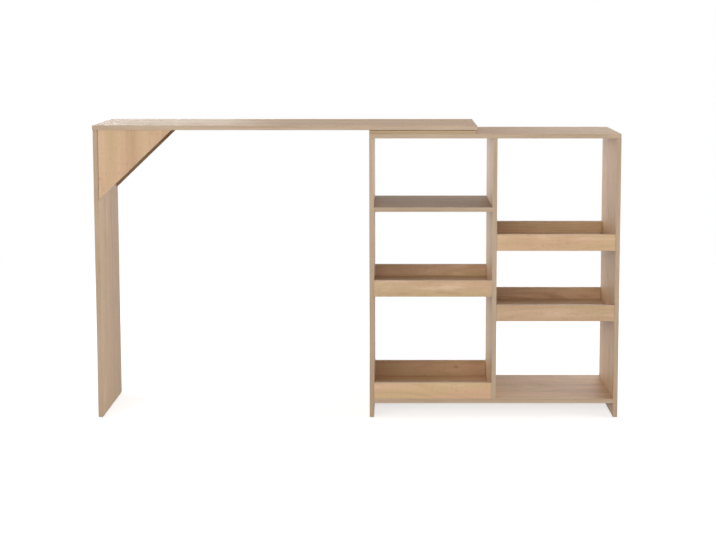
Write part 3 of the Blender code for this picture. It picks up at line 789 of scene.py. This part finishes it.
BOLT_RADIUS = 0.0040
BOLT_HEAD_RADIUS = 0.0080
BOLT_HEAD_HEIGHT = 0.0045
BOLT_SOCKET = 0.0050
BOLT_SOCKET_DEPTH = BOLT_HEAD_HEIGHT * 0.6
BOLT_ROOT = BOLT_RADIUS - 0.0004
BOLT_THREAD = 0.024
BOLT_PITCH = 0.00125
BOLT_END = 0.0006
BOLT_EASE = 0.0007
BUSHING_BORE = 0.0043
BUSHING_RADIUS = 0.0060
BUSHING_EASE = 0.0003
WASHER_RADIUS = 0.0130
WASHER_THICKNESS = 0.0020
WASHER_EASE = 0.0003
INSERT_RADIUS = 0.0075
INSERT_LENGTH = 0.012
INSERT_ROOT = INSERT_RADIUS - 0.0009
INSERT_PITCH = 0.0028
INSERT_EASE = 0.0004
BORE_OVER = 0.002
BORE_DEPTH = 0.040
RING_OUTER = 0.060
RING_INNER = 0.042
RING_THICKNESS = 0.001
RING_EASE = 0.00025

BRASS_PALE = (0.760, 0.560, 0.270)
BRASS_DARK = (0.560, 0.380, 0.160)
BRASS_GRIND = (700.0, 700.0, 5200.0)
NYLON_PALE = (0.790, 0.785, 0.755)
NYLON_SHADE = (0.700, 0.690, 0.650)

BRASS = bare_metal("turned_brass", BRASS_PALE, BRASS_DARK, smooth=0.25, rough=0.40, grind=BRASS_GRIND)
NYLON = moulded_plastic("moulded_nylon", NYLON_PALE, NYLON_SHADE, rough=0.36)


def straight_hole(radius, depth, over=DRILL_CLEARANCE):
    return [(0.0, over), (radius, over), (radius, -depth), (0.0, -depth)]


def turn_ring(work, outer, inner, length, ease, steps):
    outline = [(inner, 0.0), (outer, 0.0), (outer, -length), (inner, -length)]
    looped = eased([outline[-1]] + outline + [outline[0]], ease)[1:-1]
    turn(work, looped, steps, closed=True)


def ring_mesh(name, outer, inner, length, ease, steps, finish):
    work = bmesh.new()
    turn_ring(work, outer, inner, length, ease, steps)
    return finished_mesh(name, work, finish)


def bolt_mesh(length):
    work = bmesh.new()
    under = -BOLT_HEAD_HEIGHT
    profile = [
        (0.0, 0.0),
        (BOLT_HEAD_RADIUS, 0.0),
        (BOLT_HEAD_RADIUS, under),
        (BOLT_ROOT, under),
        (BOLT_ROOT, -length),
        (0.0, -length),
    ]
    turn(work, eased(profile, BOLT_EASE), steps=48)
    mesh = carve(finished_mesh("bolt", work, STEEL), [hexagon_tool(BOLT_SOCKET, BOLT_SOCKET_DEPTH)])
    whole = bmesh.new()
    whole.from_mesh(mesh)
    top, bottom = -length + BOLT_THREAD, -length + BOLT_END
    wind_thread(whole, BOLT_ROOT, BOLT_RADIUS, BOLT_PITCH, top, bottom, steps=32)
    return finished_mesh("bolt", whole, STEEL)


def insert_mesh():
    work = bmesh.new()
    turn_ring(work, INSERT_ROOT, BUSHING_BORE, INSERT_LENGTH, INSERT_EASE, steps=48)
    top, bottom = -THREAD_INSET, -INSERT_LENGTH + THREAD_INSET
    wind_thread(work, INSERT_ROOT, INSERT_RADIUS, INSERT_PITCH, top, bottom, steps=32)
    return finished_mesh("insert", work, BRASS)


def length_of(cad_node, way=2):
    low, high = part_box(cad_node)
    return high[way] - low[way]


bushing_length = length_of("pivot_bushing")
bore = straight_hole(BUSHING_RADIUS + DRILL_CLEARANCE, BORE_DEPTH, over=BORE_OVER)
drill([unit_top, spacer], bore, seat("pivot_bushing", DOWN), DOWN, steps=48)
insert_depth = INSERT_LENGTH + DRILL_CLEARANCE
insert_hole = straight_hole(INSERT_RADIUS + DRILL_CLEARANCE, insert_depth, over=BORE_OVER)
drill([tabletop], insert_hole, seat("insert_nut", UP), UP, steps=48)

bushing = ring_mesh("bushing", BUSHING_RADIUS, BUSHING_BORE, bushing_length, BUSHING_EASE, 48, NYLON)
washer = ring_mesh("washer", WASHER_RADIUS, BUSHING_BORE, WASHER_THICKNESS, WASHER_EASE, 64, STEEL)
slide_ring = ring_mesh("slide_ring", RING_OUTER, RING_INNER, RING_THICKNESS, RING_EASE, 128, NYLON)
fit("pivot_bushing", bushing, DOWN, "shelf_unit")
fit("glide_ring", slide_ring, DOWN, "shelf_unit")
fit("insert_nut", insert_mesh(), DOWN, "table")
fit("pivot_washer", washer, DOWN, "table")
fit("pivot_bolt", bolt_mesh(length_of("pivot_bolt")), UP, "table")


# The leg is one upright panel of the foiled board. Two steel bolts hang from the top into drilled wells
# in it, and die-cast zinc cams in pockets on its inner face draw their heads tight. A bolt's shank is
# listed by radius and depth below the upper end, its foot by radius and height over the lower end.

CAM_RADIUS = 0.0075
CAM_DEPTH = 0.0125
CAM_SUNK = 0.0004
CAM_SLOT_WIDTH = 0.0016
CAM_SLOT_LENGTH = 0.0092
CAM_SLOT_DEPTH = 0.0016
CAM_SLOT_TAPER = 0.00012
CAM_EASE = 0.0004
CAM_GROOVE_MOUTH = (CAM_RADIUS - 0.0014, CAM_RADIUS - 0.0008)
CAM_GROOVE_FLOOR = (CAM_RADIUS - 0.0013, CAM_RADIUS - 0.0009)
CAM_GROOVE_DEPTH = 0.0003
CAM_BOLT_RADIUS = 0.0030
CAM_BOLT_ROOT = CAM_BOLT_RADIUS - 0.0005
CAM_BOLT_NECK = 0.0018
CAM_BOLT_HEAD = 0.0035
CAM_BOLT_THREAD = 0.010
CAM_BOLT_PITCH = 0.0022
CAM_BOLT_EASE = 0.0003
CAM_BOLT_THREAD_IN = 0.0004
CAM_BOLT_SHANK = (
    (0.0, 0.0),
    (CAM_BOLT_ROOT, 0.0002),
    (CAM_BOLT_ROOT, CAM_BOLT_THREAD),
    (CAM_BOLT_RADIUS, CAM_BOLT_THREAD + 0.0012),
)
CAM_BOLT_FOOT = (
    (CAM_BOLT_RADIUS, 0.0110),
    (CAM_BOLT_NECK, 0.0105),
    (CAM_BOLT_NECK, 0.0053),
    (CAM_BOLT_HEAD, 0.0047),
    (CAM_BOLT_HEAD, 0.0014),
    (CAM_BOLT_NECK, 0.0),
)
WELL_FOOT = 0.006

ZINC_PALE = (0.560, 0.570, 0.590)
ZINC_DARK = (0.400, 0.405, 0.420)
ZINC_GRAIN = (500.0, 500.0, 500.0)

leg = oak_board("leg_panel", "z", "table", tone=0.97, start=(56.2, 7.7))

ZINC = bare_metal("cast_zinc", ZINC_PALE, ZINC_DARK, smooth=0.34, rough=0.55, grind=ZINC_GRAIN)


def slab_tool(length, width, depth):
    work = bmesh.new()
    corners = [Vector((x * length / 2, y * width / 2)) for x, y in ((-1, -1), (1, -1), (1, 1), (-1, 1))]
    rings = []
    for inset, level in ((0.0, OVER_FACE), (CAM_SLOT_TAPER, -depth)):
        shorter, narrower = 1 - inset / length, 1 - inset / width
        rings.append([work.verts.new((p.x * shorter, p.y * narrower, level)) for p in corners])
    work.faces.new(rings[0])
    work.faces.new(rings[1][::-1])
    for k in range(4):
        after = (k + 1) % 4
        work.faces.new((rings[1][k], rings[1][after], rings[0][after], rings[0][k]))
    return tool_from(work, ZINC)


def cam_mesh():
    work = bmesh.new()
    profile = [(0.0, 0.0), (CAM_RADIUS, 0.0), (CAM_RADIUS, -CAM_DEPTH), (0.0, -CAM_DEPTH)]
    turn(work, eased(profile, CAM_EASE), steps=48)
    blank = finished_mesh("cam", work, ZINC)
    one = slab_tool(CAM_SLOT_LENGTH, CAM_SLOT_WIDTH, CAM_SLOT_DEPTH)
    other = slab_tool(CAM_SLOT_WIDTH, CAM_SLOT_LENGTH, CAM_SLOT_DEPTH)
    groove = bmesh.new()
    rim = [
        (CAM_GROOVE_MOUTH[0], OVER_FACE),
        (CAM_GROOVE_MOUTH[1], OVER_FACE),
        (CAM_GROOVE_FLOOR[1], -CAM_GROOVE_DEPTH),
        (CAM_GROOVE_FLOOR[0], -CAM_GROOVE_DEPTH),
    ]
    turn(groove, rim, steps=48, closed=True)
    return carve(blank, [one, other, tool_from(groove, ZINC)])


def cam_bolt_mesh(length):
    work = bmesh.new()
    profile = [(radius, -depth) for radius, depth in CAM_BOLT_SHANK]
    profile += [(radius, -length + height) for radius, height in CAM_BOLT_FOOT]
    profile += [(0.0, -length)]
    turn(work, eased(profile, CAM_BOLT_EASE), steps=32)
    top, bottom = -CAM_BOLT_THREAD_IN, -CAM_BOLT_THREAD - CAM_BOLT_THREAD_IN
    wind_thread(work, CAM_BOLT_ROOT, CAM_BOLT_RADIUS, CAM_BOLT_PITCH, top, bottom, steps=20)
    return finished_mesh("cam_bolt", work, STEEL)


cam_bolt_length = length_of("leg_cam_bolt_front")
cam = cam_mesh()
cam_bolt = cam_bolt_mesh(cam_bolt_length)
pocket_over = CAM_SUNK + OVER_FACE
pocket = straight_hole(CAM_RADIUS + DRILL_CLEARANCE, CAM_DEPTH + DRILL_CLEARANCE, over=pocket_over)
well_depth = cam_bolt_length + DRILL_CLEARANCE
well = [
    (0.0, DRILL_CLEARANCE),
    (CAM_BOLT_RADIUS + DRILL_CLEARANCE, DRILL_CLEARANCE),
    (CAM_BOLT_RADIUS + DRILL_CLEARANCE, -well_depth + WELL_FOOT),
    (CAM_BOLT_HEAD + DRILL_CLEARANCE, -well_depth + WELL_FOOT),
    (CAM_BOLT_HEAD + DRILL_CLEARANCE, -well_depth),
    (0.0, -well_depth),
]
for side in ("front", "back"):
    drill([leg], pocket, seat("leg_cam_" + side, TO_LEFT), TO_LEFT, steps=48)
    drill([leg, tabletop], well, seat("leg_cam_bolt_" + side, DOWN), DOWN)
    fit("leg_cam_" + side, cam, TO_LEFT, "table")
    fit("leg_cam_bolt_" + side, cam_bolt, DOWN, "table")


# Two three-cornered cheeks brace the corner between leg and top, the back one a little smaller. They
# are sawn from the same board with the grain upright and banded all round, and beech dowels with
# pressed flutes hold them under the top.

DOWEL_RADIUS = 0.0040
DOWEL_LENGTH = 0.028
DOWEL_FLUTES = 20
DOWEL_FLUTE_DEPTH = 0.00022
DOWEL_CHAMFER = 0.0011
FLUTE_STEPS = 4

BEECH_PALE = (0.640, 0.455, 0.290)
BEECH_DARK = (0.500, 0.330, 0.190)


def cheek(cad_node, tone, start):
    low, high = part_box(cad_node)
    middle = (low + high) / 2
    top_left = Vector((high.z - middle.z, low.x - middle.x))
    bottom_left = Vector((low.z - middle.z, low.x - middle.x))
    top_right = Vector((high.z - middle.z, high.x - middle.x))
    placing = Matrix((UP, TO_RIGHT, UP.cross(TO_RIGHT))).transposed().to_4x4()
    placing.translation = middle
    corners = [bottom_left, top_left, top_right]
    return shaped_board(cad_node + "_oak", cad_node, corners, high.y - low.y, placing, "table", tone, start)


def beech(name):
    finish, tree, shader = new_finish(name)
    place = node(tree, "TexCoord", {}, output=3)
    drawn = node(tree, "Mapping", {"Vector": place, "Scale": (1900.0, 1900.0, 160.0)})
    fibre = node(tree, "TexNoise", {"Vector": drawn, "Scale": 1.0, "Detail": 3.0, "Roughness": 0.6})
    share = spread(tree, fibre, 0.3, 0.7)
    tree.links.new(tint(tree, share, BEECH_DARK, BEECH_PALE), shader.inputs["Base Color"])
    tree.links.new(spread(tree, fibre, 0.3, 0.7, 0.55, 0.72), shader.inputs["Roughness"])
    emboss(tree, shader, fibre, strength=0.3, distance=0.0001)
    return finish


BEECH = beech("fluted_beech")


def dowel_mesh():
    work = bmesh.new()
    steps = DOWEL_FLUTES * FLUTE_STEPS
    levels = [
        (DOWEL_RADIUS - DOWEL_CHAMFER, 0.0),
        (DOWEL_RADIUS, -DOWEL_CHAMFER),
        (DOWEL_RADIUS, -DOWEL_LENGTH + DOWEL_CHAMFER),
        (DOWEL_RADIUS - DOWEL_CHAMFER, -DOWEL_LENGTH),
    ]
    rings = []
    for radius, height in levels:
        ring = []
        for step in range(steps):
            angle = 2.0 * math.pi * step / steps
            reach = radius - DOWEL_FLUTE_DEPTH * (step % FLUTE_STEPS == 0)
            ring.append(work.verts.new((reach * math.cos(angle), reach * math.sin(angle), height)))
        rings.append(ring)
    work.faces.new(rings[0])
    work.faces.new(rings[-1][::-1])
    for upper, lower in zip(rings, rings[1:]):
        for k in range(steps):
            after = (k + 1) % steps
            work.faces.new((lower[k], lower[after], upper[after], upper[k]))
    return finished_mesh("dowel", work, BEECH, sharp=25)


dowel = dowel_mesh()
dowel_hole = straight_hole(DOWEL_RADIUS + DRILL_CLEARANCE, DOWEL_LENGTH + DRILL_CLEARANCE)
# The back cheek is painted darker (tone 0.80) on its foil and its band: painted shade for its inner face,
# which lies in the shadow of the front cheek and the top.
for side, tone, start in (("front", 1.06, (61.7, 4.21)), ("back", 0.80, (64.0, 9.4))):
    brace = cheek("brace_" + side + "_cheek", tone, start)
    drill([brace, tabletop], dowel_hole, seat("brace_dowel_" + side, DOWN), DOWN)
    fit("brace_dowel_" + side, dowel, DOWN, "table")


# Brown plastic glides are nailed into the lower edges of the leg and the two sides. Each is a small
# moulded disc with a rounded rim, and its short steel nail sits in a drilled hole.

GLIDE_RADIUS = 0.0070
GLIDE_HEIGHT = 0.0030
NAIL_RADIUS = 0.0013
NAIL_LENGTH = 0.010
NAIL_POINT = 0.0020
NAIL_SHORT = 0.00005
NAIL_HOLE_RADIUS = 0.0018
NAIL_HOLE_SPARE = 0.001
GLIDE_TAPER = 0.0004
GLIDE_ROUND = 0.0009
PLASTIC_PLACE, NAIL_PLACE = 0, 1

GLIDE_BROWN = (0.205, 0.165, 0.130)
GLIDE_DARK = (0.140, 0.110, 0.085)

GLIDE_PLASTIC = moulded_plastic("brown_moulded_plastic", GLIDE_BROWN, GLIDE_DARK, rough=0.44)


def glide_mesh():
    work = bmesh.new()
    low = -NAIL_LENGTH - GLIDE_HEIGHT
    high = low + GLIDE_HEIGHT
    disc = [(0.0, high), (GLIDE_RADIUS, high), (GLIDE_RADIUS - GLIDE_TAPER, low), (0.0, low)]
    turn(work, eased(disc, GLIDE_ROUND, steps=5), steps=48)
    mesh = finished_mesh("glide", work, GLIDE_PLASTIC)
    whole = bmesh.new()
    whole.from_mesh(mesh)
    disc_faces = len(whole.faces)
    nail_low = -NAIL_LENGTH + NAIL_SHORT
    nail = [(0.0, 0.0), (NAIL_RADIUS, -NAIL_POINT), (NAIL_RADIUS, nail_low), (0.0, nail_low)]
    turn(whole, nail, steps=20)
    whole.faces.ensure_lookup_table()
    for number, face in enumerate(whole.faces):
        face.material_index = NAIL_PLACE if number >= disc_faces else PLASTIC_PLACE
    mesh = finished_mesh("glide", whole, GLIDE_PLASTIC)
    mesh.materials.append(STEEL)
    return mesh


glide = glide_mesh()
nail_hole = straight_hole(NAIL_HOLE_RADIUS, NAIL_LENGTH + NAIL_HOLE_SPARE)
feet = [
    ("leg", leg, "table"),
    ("left_side", left_side, "shelf_unit"),
    ("right_side", right_side, "shelf_unit"),
]
for foot, board, body in feet:
    for side in ("front", "back"):
        drill([board], nail_hole, seat(foot + "_glide_" + side, DOWN), DOWN)
        fit(foot + "_glide_" + side, glide, DOWN, body)


# The studio floor is pale painted and runs on into a white distance. It stays visible near the table,
# so that the table keeps a soft shadow under it.

FLOOR_REACH = 30.0
FLOOR_NEAR = 1.8
FLOOR_FAR = 4.2
FLOOR_PALE = (0.600, 0.600, 0.600)
FLOOR_SHADE = (0.580, 0.580, 0.580)
FLOOR_LIFT = 0.70
WHITE = (1, 1, 1, 1)


def studio_white(tree):
    path = tree.nodes.new("ShaderNodeLightPath")
    seen = reckon(tree, 'MAXIMUM', path.outputs["Is Camera Ray"], path.outputs["Is Glossy Ray"])
    return reckon(tree, 'MAXIMUM', seen, path.outputs["Is Transmission Ray"])


def floor_paint():
    finish, tree, shader = new_finish("floor_paint")
    place = node(tree, "TexCoord", {}, output=3)
    cloud = node(tree, "TexNoise", {"Vector": place, "Scale": 3.0, "Detail": 3.0})
    tree.links.new(tint(tree, cloud, FLOOR_SHADE, FLOOR_PALE), shader.inputs["Base Color"])
    shader.inputs["Roughness"].default_value = 0.9
    shader.inputs["Specular IOR Level"].default_value = 0.1
    seen = studio_white(tree)
    away = node(tree, "VectorMath", {0: place}, output=1, operation='LENGTH')
    distant = reckon(tree, 'MULTIPLY', spread(tree, away, FLOOR_NEAR, FLOOR_FAR), seen)
    lifted = reckon(tree, 'MULTIPLY', seen, FLOOR_LIFT)
    lift = node(tree, "Emission", {"Color": WHITE, "Strength": lifted})
    near = node(tree, "AddShader", {0: shader.outputs[0], 1: lift})
    far = node(tree, "Emission", {"Color": WHITE, "Strength": 1.0})
    mixed = node(tree, "MixShader", {0: distant, 1: near, 2: far})
    tree.links.new(mixed, tree.nodes["Material Output"].inputs["Surface"])
    return finish


def lay_floor():
    work = bmesh.new()
    bmesh.ops.create_circle(work, cap_ends=True, segments=96, radius=FLOOR_REACH)
    mesh = bpy.data.meshes.new("floor")
    work.to_mesh(mesh)
    work.free()
    mesh.materials.append(floor_paint())
    floor = put_in_scene("floor", mesh)


lay_floor()


# Studio light: a faint white surround and nine soft boxes. The ones in front and at the right give most
# of the light, the others stand beside, behind and over the table, fill the inner faces and put a soft
# sheen on the tops. Each has its place, what it points at, its width and height, and its watts.

SURROUND = 0.05


def hang_surround():
    world = bpy.data.worlds.new("studio")
    world.use_nodes = True
    tree = world.node_tree
    ground = tree.nodes["Background"]
    strength = spread(tree, studio_white(tree), 0.0, 1.0, SURROUND, 1.0)
    ground.inputs["Color"].default_value = WHITE
    tree.links.new(strength, ground.inputs["Strength"])
    bpy.context.scene.world = world


def soft_box(name, at, towards, size, power):
    lamp = bpy.data.lights.new(name, 'AREA')
    lamp.shape = 'RECTANGLE'
    lamp.size, lamp.size_y = size
    lamp.energy = power
    holder = put_in_scene(name, lamp)
    holder.location = at
    holder.rotation_mode = 'QUATERNION'
    holder.rotation_quaternion = (Vector(at) - Vector(towards)).to_track_quat('Z', 'Y')
    holder.visible_camera = False


hang_surround()
soft_box("soft_box_front", (0.0, -6.3, 2.2), (0.0, 0.0, 0.6), (5.0, 1.0), 158)
soft_box("soft_box_front_left", (-3.6, -4.4, 1.9), (0.0, 0.0, 0.6), (2.4, 2.0), 94)
soft_box("soft_box_right", (4.0, -1.5, 1.6), (0.0, 0.0, 0.6), (2.4, 2.4), 78)
soft_box("soft_box_rear_right", (3.2, 3.0, 2.0), (0.5, 0.0, 0.8), (2.4, 1.6), 33)
soft_box("soft_box_back_right", (2.0, 4.6, 1.0), (-0.6, 0.0, 0.5), (2.0, 1.6), 26)
soft_box("soft_box_back_left", (-2.6, 4.2, 1.0), (0.4, 0.0, 0.5), (2.0, 1.6), 29)
soft_box("soft_box_left", (-3.9, 1.6, 1.7), (0.0, 0.0, 0.6), (2.0, 2.0), 50)
soft_box("soft_box_rear_left", (-1.42, 3.6, 1.35), (-0.85, 0.0, 1.0), (1.3, 1.0), 24)
soft_box("soft_box_overhead", (0.0, 0.0, 3.6), (0.0, 0.0, 0.0), (4.0, 2.4), 18)


# The camera stands in front, a little above the top, as the photograph was taken. It is tilted down a
# little and its picture is shifted only slightly, so that the table stays inside the other views.

LENS = 77.64
SENSOR_WIDTH = 36.0
SHIFT_X, SHIFT_Y = -0.0533, -0.11
CAMERA_AT = (0.1408, -5.7177, 1.4337)
CAMERA_PITCH = 6.199


def set_camera():
    eye = bpy.data.cameras.new("camera")
    eye.lens = LENS
    eye.sensor_width = SENSOR_WIDTH
    eye.shift_x = SHIFT_X
    eye.shift_y = SHIFT_Y
    holder = put_in_scene("camera", eye)
    holder.location = CAMERA_AT
    holder.rotation_euler = (math.radians(90.0 - CAMERA_PITCH), 0.0, 0.0)
    bpy.context.scene.camera = holder


set_camera()
bpy.context.scene.view_settings.view_transform = 'Standard'
